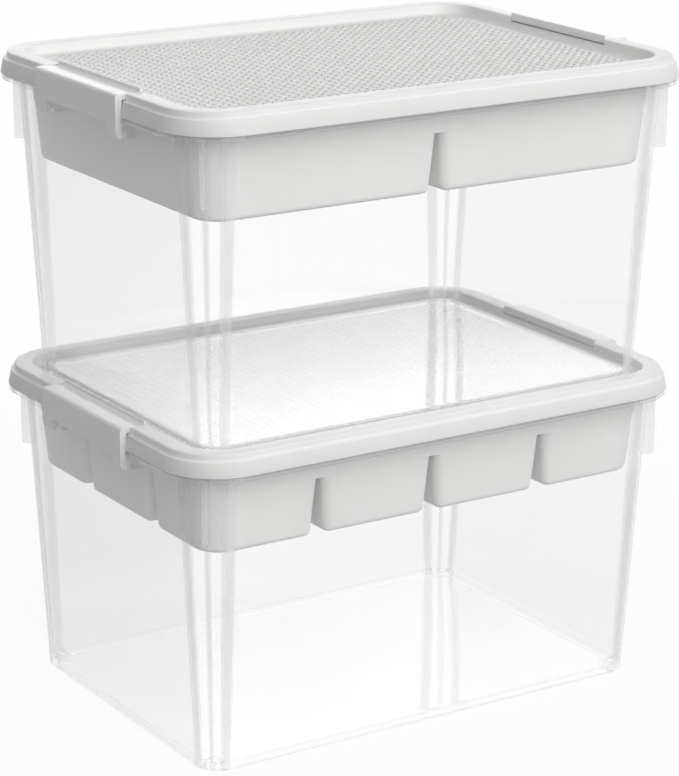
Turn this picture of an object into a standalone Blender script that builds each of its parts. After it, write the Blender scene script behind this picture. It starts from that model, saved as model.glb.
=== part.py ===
"""Two stacked clear storage boxes, each with a clip lid and a lift-out tray.

Lengths are metres and +Z is up. The origin is the middle of the lower box's foot, and the
long side of the boxes runs along X. Every plan outline is a rounded rectangle, given by its
inset from the outer edge of the lid's skirt, so that all the mouldings nest in one another.
"""

import math

import bmesh
import bpy
from mathutils import Matrix, Vector
from mathutils.geometry import tessellate_polygon

# Plan of the box, at the outer edge of the lid's skirt
LID_LENGTH = 0.400
LID_WIDTH = 0.288
LID_CORNER_RADIUS = 0.042
LEAST_CORNER_RADIUS = 0.0015
CORNER_STEPS = 6

# Gaps between pieces that rest on or pass one another
SEAT_GAP = 0.0003
TRAY_PLAY = 0.0004
LATCH_END_GAP = 0.0006
LATCH_BACK_GAP = 0.0004
NECK_TOP_GAP = 0.0008
TRAY_HEADROOM = 0.0009
CUT_OVERRUN = 0.004

# Tub
TUB_RIM_HEIGHT = 0.2116
TUB_WALL = 0.0022
TUB_DRAFT_ANGLE = math.radians(3.4)
RIM_EDGE_INSET = 0.0003
RIM_OVERHANG = 0.0118
RIM_DEPTH = 0.0031
RIM_WALL = 0.0017
NECK_INSET = 0.0088
FOOT_WIDTH = 0.0030
FOOT_EDGE_RADIUS = 0.0024
FOOT_HOLLOW_DEPTH = 0.0022
FOOT_HOLLOW_SLOPE = 0.0010
FLOOR_THICKNESS = 0.0021
FLOOR_FILLET_RADIUS = 0.0040
FILLET_STEPS = 3

# Corner fins that stand under the rim of the tub
FIN_HEIGHT = 0.0450
FIN_RIM_SETBACK = 0.0067
FIN_THICKNESS = 0.0016
FIN_EDGE_RADIUS = 0.0030

# Lid
LID_WALL = 0.0020
SKIRT_HEIGHT = 0.0103
SKIRT_DRAFT = 0.0018
SKIRT_EDGE_RADIUS = 0.0007
RING_INSET = 0.0045
RING_RISE = 0.0046
RING_WIDTH = 0.0126
RING_EDGE_RADIUS = 0.0014
DECK_DEPTH = 0.0074
DECK_DRAFT = 0.0007

# Grid of round bumps on the deck of a lid, every third one of the real grid
STUD_PITCH = 0.02085
STUD_FIELD_INSET = 0.0305
STUD_RADIUS = 0.0022
STUD_TAPER = 0.0004
STUD_HEIGHT = 0.0012
STUD_SIDES = 6

# Latches, one at each short end of a lid
LATCH_LENGTH = 0.110
LATCH_PROUD = 0.0030
LATCH_WALL = 0.0021
LATCH_EDGE_RADIUS = 0.0026
LATCH_REACH_BELOW_RIM = 0.0115
LATCH_TROUGH_DEPTH = 0.0008
LATCH_SHELF = 0.0052
LEG_WIDTH = 0.0130
LEG_CORNER_RADIUS = 0.0050
ARCH_RISE = 0.0100
ARCH_CORNER_RADIUS = 0.0040
HOOK_DROP = 0.0002
HOOK_HEIGHT = 0.0058
HOOK_TIP_HEIGHT = 0.0022
HOOK_REACH = 0.0015
LIP_THICKNESS = 0.0018
LIP_RISE = 0.0024
LIP_FOOT_RADIUS = 0.0016
NOTCH_STEP = 0.0032
RECESS_DEPTH = 0.0023
BARREL_RADIUS = 0.0020
PIN_RADIUS = 0.0014
PIN_LENGTH = 0.0017
PIN_CLEARANCE = 0.0003
ROUND_STEPS = 12

# Trays
TRAY_WALL = 0.0015
TRAY_FLANGE = 0.0018
TRAY_SKIRT_INSET = 0.0203
TRAY_SKIRT_HEIGHT = 0.0217
TRAY_DRAFT_ANGLE = math.radians(4.3)
TRAY_DEPTH = 0.0645
POCKET_SETBACK = 0.0006
POCKET_GAP = 0.0040
POCKET_CORNER_RADIUS = 0.0060
POCKET_EDGE_RADIUS = 0.0042
POCKET_CORNER_STEPS = 3
POCKET_EDGE_STEPS = 2

# Shares of a tray's length and width that each column and row of pockets takes
UPPER_TRAY_COLUMN_SHARES = (1, 1)
UPPER_TRAY_ROW_SHARES = (1,)
LOWER_TRAY_COLUMN_SHARES = (1, 1, 1, 1)
LOWER_TRAY_ROW_SHARES = (6, 7, 6)

# Colours, as base colour, roughness and transmission
CLEAR_PLASTIC = ((0.93, 0.94, 0.95, 1.0), 0.08, 0.9)
WHITE_PLASTIC = ((0.86, 0.86, 0.85, 1.0), 0.38, 0.0)
LATCH_PLASTIC = ((0.84, 0.84, 0.83, 1.0), 0.36, 0.0)
TRAY_PLASTIC = ((0.82, 0.82, 0.81, 1.0), 0.42, 0.0)

# Heights over the foot of a box
RIM_BOTTOM = TUB_RIM_HEIGHT - RIM_DEPTH
SKIRT_BOTTOM = TUB_RIM_HEIGHT + SEAT_GAP
STEP_HEIGHT = SKIRT_BOTTOM + SKIRT_HEIGHT
RING_TOP = STEP_HEIGHT + RING_RISE
DECK_TOP = RING_TOP - DECK_DEPTH
DECK_UNDERSIDE = DECK_TOP - LID_WALL
NOTCH_FLOOR = DECK_TOP + NOTCH_STEP
NECK_TOP = NOTCH_FLOOR - LID_WALL - NECK_TOP_GAP
TRAY_TOP = DECK_UNDERSIDE - TRAY_HEADROOM
TRAY_SEAT = TRAY_TOP - TRAY_FLANGE - SEAT_GAP
LATCH_BOTTOM = RIM_BOTTOM - LATCH_REACH_BELOW_RIM
STACK_PITCH = DECK_TOP + SEAT_GAP

# Insets from the outer edge of the skirt
WALL_TOP_INSET = RIM_EDGE_INSET + RIM_OVERHANG
RING_INNER_INSET = RING_INSET + RING_WIDTH
HINGE_INSET = RING_INNER_INSET - LIP_THICKNESS / 2 - BARREL_RADIUS + LATCH_BACK_GAP
HINGE_HEIGHT = NOTCH_FLOOR + BARREL_RADIUS + LATCH_BACK_GAP
HINGE_X = LID_LENGTH / 2 - HINGE_INSET

# Bumps on each side of the middle one, as many as the deck inside the foot ring has room for
STUD_REACH = STUD_FIELD_INSET + STUD_RADIUS
STUDS_ALONG = int((LID_LENGTH / 2 - STUD_REACH) / STUD_PITCH)
STUDS_ACROSS = int((LID_WIDTH / 2 - STUD_REACH) / STUD_PITCH)


def rounded_rectangle(half_length, half_width, radius, steps):
    """Plan points of a rounded rectangle, counter-clockwise from the +X side."""
    points = []
    for quarter, (side_x, side_y) in enumerate(((1, 1), (-1, 1), (-1, -1), (1, -1))):
        centre_x = side_x * (half_length - radius)
        centre_y = side_y * (half_width - radius)
        for step in range(steps + 1):
            angle = math.radians(90) * (quarter + step / steps)
            x = centre_x + radius * math.cos(angle)
            y = centre_y + radius * math.sin(angle)
            points.append((x, y))
    return points


def box_ring(inset, height):
    """Ring of the box's plan at an inset from the skirt's edge and at a height."""
    radius = max(LID_CORNER_RADIUS - inset, LEAST_CORNER_RADIUS)
    outline = rounded_rectangle(LID_LENGTH / 2 - inset, LID_WIDTH / 2 - inset, radius, CORNER_STEPS)
    return [Vector((x, y, height)) for x, y in outline]


def arc(centre, radius, start_degrees, end_degrees, steps):
    """Points of an arc in a plane, both ends included."""
    points = []
    for step in range(steps + 1):
        angle = math.radians(start_degrees + (end_degrees - start_degrees) * step / steps)
        points.append((centre[0] + radius * math.cos(angle), centre[1] + radius * math.sin(angle)))
    return points


class Shell:
    """A closed surface made of rings, the bands between them and flat fills."""

    def __init__(self):
        self.mesh = bmesh.new()

    def ring(self, points):
        """Add a ring of vertices."""
        return [self.mesh.verts.new(point) for point in points]

    def band(self, lower, upper):
        """Join two rings of equal count."""
        count = len(lower)
        for index in range(count):
            following = (index + 1) % count
            self.mesh.faces.new((lower[index], lower[following], upper[following], upper[index]))

    def bands(self, rings):
        """Join each ring to the next one and return the last."""
        for lower, upper in zip(rings, rings[1:]):
            self.band(lower, upper)
        return rings[-1]

    def fill(self, outer, holes=()):
        """Close a flat ring, leaving out the holes inside it."""
        vertices = list(outer)
        for hole in holes:
            vertices.extend(hole)
        loops = [[vertex.co for vertex in outer]]
        loops.extend([vertex.co for vertex in hole] for hole in holes)
        for corners in tessellate_polygon(loops):
            self.mesh.faces.new([vertices[corner] for corner in corners])

    def finish(self, name):
        """Turn the faces outward and return the mesh."""
        bmesh.ops.recalc_face_normals(self.mesh, faces=self.mesh.faces)
        mesh = bpy.data.meshes.new(name)
        self.mesh.to_mesh(mesh)
        self.mesh.free()
        return mesh


def loft_mesh(name, rings):
    """A solid through a list of rings, closed flat at both ends."""
    shell = Shell()
    rings = [shell.ring(points) for points in rings]
    shell.bands(rings)
    shell.fill(rings[0])
    shell.fill(rings[-1])
    return shell.finish(name)


def prism_mesh(name, outline, place_start, place_end):
    """A solid that carries a flat outline from one place to another."""
    start = [place_start(*point) for point in outline]
    end = [place_end(*point) for point in outline]
    return loft_mesh(name, [start, end])


def temporary(mesh):
    """An object that only takes part in a Boolean."""
    shape = bpy.data.objects.new(mesh.name, mesh)
    shape.hide_render = True
    shape.display_type = "WIRE"
    bpy.context.scene.collection.objects.link(shape)
    return shape


def carved(mesh, operations):
    """The mesh after a list of Boolean steps, each an operation and a mesh."""
    base = temporary(mesh)
    tools = []
    for operation, tool_mesh in operations:
        tool = temporary(tool_mesh)
        tools.append(tool)
        modifier = base.modifiers.new(operation.title(), "BOOLEAN")
        modifier.operation = operation
        modifier.solver = "EXACT"
        modifier.object = tool
    depsgraph = bpy.context.evaluated_depsgraph_get()
    result = bpy.data.meshes.new_from_object(base.evaluated_get(depsgraph))
    for shape in [base] + tools:
        bpy.data.objects.remove(shape)
    return result


def material(name, look):
    """A plain plastic with the colour, roughness and transmission of a look."""
    colour, roughness, transmission = look
    plastic = bpy.data.materials.new(name)
    plastic.use_nodes = True
    shader = plastic.node_tree.nodes["Principled BSDF"]
    shader.inputs["Base Color"].default_value = colour
    shader.inputs["Roughness"].default_value = roughness
    shader.inputs["Metallic"].default_value = 0.0
    shader.inputs["Transmission Weight"].default_value = transmission
    return plastic


def place(name, mesh, look, parent, location=(0, 0, 0), turn=0.0):
    """A named sub-part with its own mesh and material under a parent."""
    own_mesh = mesh.copy()
    own_mesh.name = name
    own_mesh.materials.clear()
    own_mesh.materials.append(material(name + "_plastic", look))
    own_mesh.shade_smooth()
    own_mesh.set_sharp_from_angle(angle=math.radians(32))
    part = bpy.data.objects.new(name, own_mesh)
    bpy.context.scene.collection.objects.link(part)
    part.parent = parent
    part.location = location
    part.rotation_euler = (0, 0, turn)
    return part


def wall_inset(height):
    """Inset of the tub's drafted outer wall at a height."""
    return WALL_TOP_INSET + (RIM_BOTTOM - height) * math.tan(TUB_DRAFT_ANGLE)


def tub_profile():
    """The tub's cross-section as inset and height, from the hollow underfoot to the floor."""
    foot_inset = wall_inset(0)
    fillet = arc((foot_inset + FOOT_EDGE_RADIUS, FOOT_EDGE_RADIUS), FOOT_EDGE_RADIUS, 270, 180, FILLET_STEPS)
    foot_inner = foot_inset + FOOT_EDGE_RADIUS + FOOT_WIDTH
    hollow_inset = foot_inner + FOOT_HOLLOW_SLOPE
    floor_top = FOOT_HOLLOW_DEPTH + FLOOR_THICKNESS
    rim_underside = TUB_RIM_HEIGHT - RIM_WALL
    lip_inset = RIM_EDGE_INSET + RIM_WALL
    neck_inner = NECK_INSET + TUB_WALL
    inner_top = wall_inset(TRAY_SEAT) + TUB_WALL
    floor_bend = wall_inset(floor_top + FLOOR_FILLET_RADIUS) + TUB_WALL
    bend_centre = (floor_bend + FLOOR_FILLET_RADIUS, floor_top + FLOOR_FILLET_RADIUS)

    profile = [(hollow_inset, FOOT_HOLLOW_DEPTH), (foot_inner, 0)]
    profile += fillet
    profile += [
        (wall_inset(rim_underside), rim_underside),
        (lip_inset, rim_underside),
        (lip_inset, RIM_BOTTOM),
        (RIM_EDGE_INSET, RIM_BOTTOM),
        (RIM_EDGE_INSET, TUB_RIM_HEIGHT),
        (NECK_INSET, TUB_RIM_HEIGHT),
        (NECK_INSET, NECK_TOP),
        (neck_inner, NECK_TOP),
        (neck_inner, TRAY_SEAT),
        (inner_top, TRAY_SEAT),
    ]
    profile += arc(bend_centre, FLOOR_FILLET_RADIUS, 180, 270, FILLET_STEPS)
    return profile


def fin_mesh(name, side_x, side_y):
    """One upright fin on the diagonal of a corner, from the wall out under the rim."""
    top = TUB_RIM_HEIGHT - RIM_WALL / 2
    bottom = RIM_BOTTOM - FIN_HEIGHT
    outer = LID_CORNER_RADIUS - FIN_RIM_SETBACK
    inner_bottom = LID_CORNER_RADIUS - wall_inset(bottom) - TUB_WALL / 2
    inner_top = LID_CORNER_RADIUS - wall_inset(top) - TUB_WALL / 2
    edge_centre = (outer - FIN_EDGE_RADIUS, bottom + FIN_EDGE_RADIUS)
    outline = [(inner_bottom, bottom)]
    outline += arc(edge_centre, FIN_EDGE_RADIUS, 270, 360, FILLET_STEPS)
    outline += [(outer, top), (inner_top, top)]

    centre_x = side_x * (LID_LENGTH / 2 - LID_CORNER_RADIUS)
    centre_y = side_y * (LID_WIDTH / 2 - LID_CORNER_RADIUS)
    centre = Vector((centre_x, centre_y, 0))
    outward = Vector((side_x, side_y, 0)).normalized()
    across = Vector((-outward.y, outward.x, 0))

    def on_side(offset):
        return lambda radial, height: centre + outward * radial + across * offset + Vector((0, 0, height))

    return prism_mesh(name, outline, on_side(-FIN_THICKNESS / 2), on_side(FIN_THICKNESS / 2))


def end_prism(name, outline, half_span, side):
    """A solid across one short end of the box, from an outline of inset and height."""

    def across(y):
        return lambda inset, height: Vector((side * (LID_LENGTH / 2 - inset), y, height))

    return prism_mesh(name, outline, across(-half_span), across(half_span))


def rectangle(low_inset, high_inset, low_height, high_height):
    """Outline of a rectangle of inset and height."""
    return [
        (low_inset, low_height),
        (high_inset, low_height),
        (high_inset, high_height),
        (low_inset, high_height),
    ]


def tub_mesh():
    """The clear tub: drafted walls, foot, fins and a rim with its neck."""
    rings = [box_ring(inset, height) for inset, height in tub_profile()]
    operations = []
    for side_x in (-1, 1):
        for side_y in (-1, 1):
            operations.append(("UNION", fin_mesh("fin", side_x, side_y)))
    relief = rectangle(
        -CUT_OVERRUN, RECESS_DEPTH, RIM_BOTTOM - CUT_OVERRUN, TUB_RIM_HEIGHT + CUT_OVERRUN)
    half_span = LATCH_LENGTH / 2 + LATCH_END_GAP
    for side in (-1, 1):
        operations.append(("DIFFERENCE", end_prism("rim_relief", relief, half_span, side)))
    return carved(loft_mesh("tub", rings), operations)


def lid_outer_profile():
    """The lid's upper surface as inset and height, from the skirt's foot to the deck."""
    edge = SKIRT_EDGE_RADIUS
    round_edge = RING_EDGE_RADIUS
    skirt_edge = arc((SKIRT_DRAFT + edge, STEP_HEIGHT - edge), edge, 180, 90, FILLET_STEPS)
    outer_edge = arc((RING_INSET + round_edge, RING_TOP - round_edge), round_edge, 180, 90, FILLET_STEPS)
    inner_edge = arc((RING_INNER_INSET - round_edge, RING_TOP - round_edge), round_edge, 90, 0, FILLET_STEPS)
    profile = [(0, SKIRT_BOTTOM)]
    profile += skirt_edge
    profile += [(RING_INSET, STEP_HEIGHT)]
    profile += outer_edge
    profile += inner_edge
    profile += [(RING_INNER_INSET + DECK_DRAFT, DECK_TOP)]
    return profile


def lid_inner_profile():
    """The hollow under the lid as inset and height, one wall inside the upper surface."""
    channel_outer = RING_INSET + LID_WALL
    channel_inner = RING_INNER_INSET - LID_WALL
    return [
        (LID_WALL, SKIRT_BOTTOM - CUT_OVERRUN),
        (LID_WALL, SKIRT_BOTTOM),
        (SKIRT_DRAFT + LID_WALL, STEP_HEIGHT - LID_WALL),
        (channel_outer, STEP_HEIGHT - LID_WALL),
        (channel_outer, RING_TOP - LID_WALL),
        (channel_inner, RING_TOP - LID_WALL),
        (channel_inner + DECK_DRAFT, DECK_UNDERSIDE),
    ]


def notch_outline(grown):
    """Space that a latch needs in the lid, grown by a wall for the walls that close it."""
    outer = -CUT_OVERRUN
    inner = RING_INNER_INSET + DECK_DRAFT + CUT_OVERRUN
    bottom = SKIRT_BOTTOM - CUT_OVERRUN - CUT_OVERRUN
    top = RING_TOP + CUT_OVERRUN
    return [
        (outer - grown, bottom),
        (RECESS_DEPTH + grown, bottom),
        (RECESS_DEPTH + grown, NOTCH_FLOOR - grown),
        (inner + grown, NOTCH_FLOOR - grown),
        (inner + grown, top + grown),
        (outer - grown, top + grown),
    ]


def rod_mesh(name, x, z, radius, start_y, end_y):
    """A round rod along Y."""
    outline = arc((x, z), radius, 0, 360, ROUND_STEPS)[:-1]
    return prism_mesh(
        name, outline, lambda px, pz: Vector((px, start_y, pz)), lambda px, pz: Vector((px, end_y, pz)))


def stud_ring(x, y, radius, height):
    """Ring of one bump on the deck."""
    return [Vector((a, b, height)) for a, b in arc((x, y), radius, 0, 360, STUD_SIDES)[:-1]]


def studs_mesh():
    """All the bumps on the deck, each sunk a little into it."""
    shell = Shell()
    for column in range(-STUDS_ALONG, STUDS_ALONG + 1):
        for row in range(-STUDS_ACROSS, STUDS_ACROSS + 1):
            x = column * STUD_PITCH
            y = row * STUD_PITCH
            foot = shell.ring(stud_ring(x, y, STUD_RADIUS, DECK_TOP - LID_WALL / 4))
            crown = shell.ring(stud_ring(x, y, STUD_RADIUS - STUD_TAPER, DECK_TOP + STUD_HEIGHT))
            shell.bands([foot, crown])
            shell.fill(foot)
            shell.fill(crown)
    return shell.finish("studs")


def lid_mesh():
    """The lid: stepped skirt, raised ring, sunk deck and a walled notch for each latch."""
    half_span = LATCH_LENGTH / 2 + LATCH_END_GAP
    outer = loft_mesh("lid", [box_ring(*point) for point in lid_outer_profile()])
    hollow = loft_mesh("lid_hollow", [box_ring(*point) for point in lid_inner_profile()])
    kept_clear = []
    cuts = [("UNION", studs_mesh())]
    for side in (-1, 1):
        walls = end_prism("notch_walls", notch_outline(LID_WALL), half_span + LID_WALL, side)
        kept_clear.append(("DIFFERENCE", walls))
        cuts.append(("DIFFERENCE", end_prism("notch", notch_outline(0), half_span, side)))
        for end in (-1, 1):
            start_y = end * (half_span - CUT_OVERRUN)
            end_y = end * (half_span + LID_WALL + SEAT_GAP)
            hole = rod_mesh("pin_hole", side * HINGE_X, HINGE_HEIGHT, PIN_RADIUS + PIN_CLEARANCE, start_y, end_y)
            cuts.append(("DIFFERENCE", hole))
    cuts.insert(0, ("DIFFERENCE", carved(hollow, kept_clear)))
    return carved(outer, cuts)


def latch_section():
    """Outline of the latch as outward distance and height from the hinge axis, walls full."""
    face = HINGE_INSET + LATCH_PROUD
    top = RING_TOP - HINGE_HEIGHT
    bottom = LATCH_BOTTOM - HINGE_HEIGHT
    back = HINGE_INSET - RECESS_DEPTH + LATCH_BACK_GAP
    shelf_end = face - LATCH_PROUD - LATCH_SHELF
    lip_inner = -BARREL_RADIUS
    lip_outer = lip_inner + LIP_THICKNESS
    lip_top = top + LIP_RISE
    lip_radius = LIP_THICKNESS / 2
    trough = top - LATCH_TROUGH_DEPTH
    trough_end = lip_outer + LIP_FOOT_RADIUS
    outline = [(face, bottom)]
    outline += arc((face - LATCH_EDGE_RADIUS, top - LATCH_EDGE_RADIUS), LATCH_EDGE_RADIUS, 0, 90, FILLET_STEPS)
    for step in range(FILLET_STEPS):
        share = step / FILLET_STEPS
        fall = (1 - math.cos(math.pi * share)) / 2
        outline.append((shelf_end + (trough_end - shelf_end) * share, top + (trough - top) * fall))
    outline += arc((trough_end, trough + LIP_FOOT_RADIUS), LIP_FOOT_RADIUS, 270, 180, FILLET_STEPS)
    outline += arc((lip_outer - lip_radius, lip_top - lip_radius), lip_radius, 0, 180, 2 * FILLET_STEPS)
    outline += arc((0, 0), BARREL_RADIUS, 180, 270, FILLET_STEPS)
    outline += [(back, -BARREL_RADIUS), (back, bottom)]
    return outline


def latch_hollow():
    """The space inside the latch over its arch, between the end walls and open to the back."""
    skin = HINGE_INSET + LATCH_PROUD - LATCH_WALL
    top = RING_TOP - HINGE_HEIGHT - LATCH_WALL
    trough = top - LATCH_TROUGH_DEPTH
    back = HINGE_INSET - RECESS_DEPTH - CUT_OVERRUN
    low = LATCH_BOTTOM + ARCH_RISE + LATCH_WALL - HINGE_HEIGHT
    shelf_end = HINGE_INSET - LATCH_SHELF
    root = BARREL_RADIUS + LATCH_WALL / 2
    floor = -BARREL_RADIUS - LATCH_BACK_GAP
    outline = [(skin, low), (skin, top), (shelf_end, top)]
    outline += [(root + (shelf_end - root) / 2, trough + LATCH_TROUGH_DEPTH / 2), (root, trough)]
    outline += [(root, floor), (back, floor), (back, low)]
    return outline


def leg_hollow():
    """The space inside a leg, which opens downward and into the space over the arch."""
    skin = HINGE_INSET + LATCH_PROUD - LATCH_WALL
    back = HINGE_INSET - RECESS_DEPTH - CUT_OVERRUN
    below = LATCH_BOTTOM - HINGE_HEIGHT - CUT_OVERRUN
    above = LATCH_BOTTOM + ARCH_RISE + LATCH_WALL + LATCH_WALL - HINGE_HEIGHT
    return [(skin, below), (skin, above), (back, above), (back, below)]


def hook_outline():
    """A hook that reaches from the leg's front wall to under the tub's rim."""
    root = HINGE_INSET + LATCH_PROUD - LATCH_WALL / 2
    tip = HINGE_INSET - RECESS_DEPTH - HOOK_REACH
    top = RIM_BOTTOM - HOOK_DROP - HINGE_HEIGHT
    return [(root, top - HOOK_HEIGHT), (root, top), (tip, top), (tip, top - HOOK_TIP_HEIGHT)]


def latch_front():
    """Outline of the latch seen from its end of the box: two legs with an arch between."""
    half = LATCH_LENGTH / 2
    inner = half - LEG_WIDTH
    bottom = LATCH_BOTTOM - HINGE_HEIGHT
    arch = bottom + ARCH_RISE
    top = RING_TOP + LIP_RISE + CUT_OVERRUN - HINGE_HEIGHT
    radius = LEG_CORNER_RADIUS
    bend = ARCH_CORNER_RADIUS
    right = arc((inner - bend, arch - bend), bend, 90, 0, FILLET_STEPS)
    right += arc((inner + radius, bottom + radius), radius, 180, 270, FILLET_STEPS)
    right += arc((half - radius, bottom + radius), radius, 270, 360, FILLET_STEPS)
    right += [(half, top)]
    left = [(-y, z) for y, z in reversed(right)]
    return right + left


def latch_mesh():
    """A latch around its hinge axis, with +X pointing out of the box."""
    half = LATCH_LENGTH / 2
    inside = half - LATCH_WALL
    reach = HINGE_INSET + LATCH_PROUD + CUT_OVERRUN

    def at_y(y):
        return lambda x, z: Vector((x, y, z))

    def at_x(x):
        return lambda y, z: Vector((x, y, z))

    body = prism_mesh("latch", latch_section(), at_y(-half - CUT_OVERRUN), at_y(half + CUT_OVERRUN))
    front = prism_mesh("latch_front", latch_front(), at_x(-BARREL_RADIUS - CUT_OVERRUN), at_x(reach))
    operations = [("INTERSECT", front)]
    operations.append(("DIFFERENCE", prism_mesh("latch_hollow", latch_hollow(), at_y(-inside), at_y(inside))))
    leg_inner = half - LEG_WIDTH + LATCH_WALL
    for end in (-1, 1):
        span = at_y(end * leg_inner), at_y(end * inside)
        operations.append(("DIFFERENCE", prism_mesh("leg_hollow", leg_hollow(), *span)))
    for end in (-1, 1):
        span = at_y(end * (leg_inner - LATCH_WALL / 2)), at_y(end * (inside + LATCH_WALL / 2))
        operations.append(("UNION", prism_mesh("hook", hook_outline(), *span)))
    operations.append(("UNION", rod_mesh("pins", 0, 0, PIN_RADIUS, -half - PIN_LENGTH, half + PIN_LENGTH)))
    return carved(body, operations)


def spans(shares, full):
    """Start and end of each pocket along a side of the tray, split by shares."""
    unit = (full - (len(shares) - 1) * POCKET_GAP) / sum(shares)
    places = []
    start = -full / 2
    for share in shares:
        places.append((start, start + share * unit))
        start += share * unit + POCKET_GAP
    return places


def pocket_ring(columns, rows, column, row, outer_radius, inset, rounding, height):
    """Ring of one pocket, drawn in by an inset and by the rounding of its lower edge."""
    points = []
    for quarter, (side_x, side_y) in enumerate(((1, 1), (-1, 1), (-1, -1), (1, -1))):
        at_end = column == (len(columns) - 1 if side_x > 0 else 0)
        at_side = row == (len(rows) - 1 if side_y > 0 else 0)
        radius = outer_radius if at_end and at_side else POCKET_CORNER_RADIUS
        radius = max(radius - rounding, LEAST_CORNER_RADIUS)
        edge_x = columns[column][1 if side_x > 0 else 0] - side_x * (inset + rounding)
        edge_y = rows[row][1 if side_y > 0 else 0] - side_y * (inset + rounding)
        centre = (edge_x - side_x * radius, edge_y - side_y * radius)
        turn = 90 * quarter
        for x, y in arc(centre, radius, turn, turn + 90, POCKET_CORNER_STEPS):
            points.append(Vector((x, y, height)))
    return points


def tray_mesh(column_shares, row_shares):
    """A tray: a flange, a drafted skirt and a grid of drafted pockets hung from a web."""
    flange_inset = NECK_INSET + TUB_WALL + TRAY_PLAY
    flange_bottom = TRAY_TOP - TRAY_FLANGE
    web_bottom = flange_bottom - TRAY_SKIRT_HEIGHT
    web_top = web_bottom + TRAY_WALL
    slope = math.tan(TRAY_DRAFT_ANGLE)
    skirt_bottom_inset = TRAY_SKIRT_INSET + TRAY_SKIRT_HEIGHT * slope
    inner_bottom_inset = TRAY_SKIRT_INSET + TRAY_WALL + (TRAY_TOP - web_top) * slope

    shell = Shell()
    mouth = shell.ring(box_ring(TRAY_SKIRT_INSET + TRAY_WALL, TRAY_TOP))
    outer_rings = [mouth]
    for inset, height in (
        (flange_inset, TRAY_TOP),
        (flange_inset, flange_bottom),
        (TRAY_SKIRT_INSET, flange_bottom),
        (skirt_bottom_inset, web_bottom),
    ):
        outer_rings.append(shell.ring(box_ring(inset, height)))
    outside = shell.bands(outer_rings)
    inside = shell.bands([mouth, shell.ring(box_ring(inner_bottom_inset, web_top))])

    pocket_inset = skirt_bottom_inset + POCKET_SETBACK
    outer_radius = LID_CORNER_RADIUS - pocket_inset
    columns = spans(column_shares, LID_LENGTH - 2 * pocket_inset)
    rows = spans(row_shares, LID_WIDTH - 2 * pocket_inset)
    bend_height = TRAY_TOP - TRAY_DEPTH + POCKET_EDGE_RADIUS
    bend_inset = (web_bottom - bend_height) * slope
    outer_holes = []
    inner_holes = []
    for column in range(len(columns)):
        for row in range(len(rows)):
            for wall, top, holes in ((0, web_bottom, outer_holes), (TRAY_WALL, web_top, inner_holes)):
                rings = [pocket_ring(columns, rows, column, row, outer_radius, wall, 0, top)]
                radius = POCKET_EDGE_RADIUS - wall
                for rounding, height in arc((radius, bend_height), radius, 180, 270, POCKET_EDGE_STEPS):
                    rings.append(pocket_ring(
                        columns, rows, column, row, outer_radius, bend_inset + wall, rounding, height))
                rings = [shell.ring(points) for points in rings]
                shell.fill(shell.bands(rings))
                holes.append(rings[0])
    shell.fill(outside, outer_holes)
    shell.fill(inside, inner_holes)
    return shell.finish("tray")


def build_box(prefix, foot_height, tub, lid, latch, tray):
    """One box with its tub, tray, lid and two latches, standing at a height."""
    stand = bpy.data.objects.new(prefix + "_box", None)
    bpy.context.scene.collection.objects.link(stand)
    stand.location = (0, 0, foot_height)
    place(prefix + "_tub", tub, CLEAR_PLASTIC, stand)
    place(prefix + "_tray", tray, TRAY_PLASTIC, stand)
    place(prefix + "_lid", lid, WHITE_PLASTIC, stand)
    hinge_left = (-HINGE_X, 0, HINGE_HEIGHT)
    hinge_right = (HINGE_X, 0, HINGE_HEIGHT)
    place(prefix + "_latch_left", latch, LATCH_PLASTIC, stand, hinge_left, math.pi)
    place(prefix + "_latch_right", latch, LATCH_PLASTIC, stand, hinge_right)


def main():
    """Clear the scene and build the lower and the upper box."""
    for item in list(bpy.data.objects):
        bpy.data.objects.remove(item)
    tub = tub_mesh()
    lid = lid_mesh()
    latch = latch_mesh()
    lower_tray = tray_mesh(LOWER_TRAY_COLUMN_SHARES, LOWER_TRAY_ROW_SHARES)
    upper_tray = tray_mesh(UPPER_TRAY_COLUMN_SHARES, UPPER_TRAY_ROW_SHARES)
    build_box("lower", 0, tub, lid, latch, lower_tray)
    build_box("upper", STACK_PITCH, tub, lid, latch, upper_tray)


main()
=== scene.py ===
"""Looks of two stacked clear storage boxes with white clip lids and lift-out trays.

Each moulding is built again here with finer rounding and takes the place of its plain solid.
Lengths are metres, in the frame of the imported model. Plan outlines are rounded rectangles,
given by their inset from the outer edge of the lid's skirt.
"""

import math

import bmesh
import bpy
from mathutils import Matrix, Vector
from mathutils.geometry import tessellate_polygon


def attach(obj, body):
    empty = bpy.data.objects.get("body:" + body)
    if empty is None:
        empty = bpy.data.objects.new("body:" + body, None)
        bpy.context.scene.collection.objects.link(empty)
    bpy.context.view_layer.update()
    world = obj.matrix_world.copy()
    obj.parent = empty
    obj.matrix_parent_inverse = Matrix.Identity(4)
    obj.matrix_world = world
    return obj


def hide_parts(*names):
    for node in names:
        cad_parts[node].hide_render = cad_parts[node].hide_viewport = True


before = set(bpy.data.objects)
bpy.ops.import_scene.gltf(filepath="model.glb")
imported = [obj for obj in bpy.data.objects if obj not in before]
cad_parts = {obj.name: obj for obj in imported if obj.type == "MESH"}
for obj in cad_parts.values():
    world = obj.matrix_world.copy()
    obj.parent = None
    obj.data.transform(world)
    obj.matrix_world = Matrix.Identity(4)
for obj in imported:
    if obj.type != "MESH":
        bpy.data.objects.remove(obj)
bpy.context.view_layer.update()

# Plan of the box and the steps of its roundings
LID_LENGTH = 0.400
LID_WIDTH = 0.288
LID_CORNER_RADIUS = 0.042
LEAST_CORNER_RADIUS = 0.0015
CORNER_STEPS = 16
ARC_STEPS = 5
SMALL_ARC_STEPS = 3
SHARP_ANGLE = math.radians(35)
CUT_OVERRUN = 0.004
SEAT_GAP = 0.0003

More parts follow.
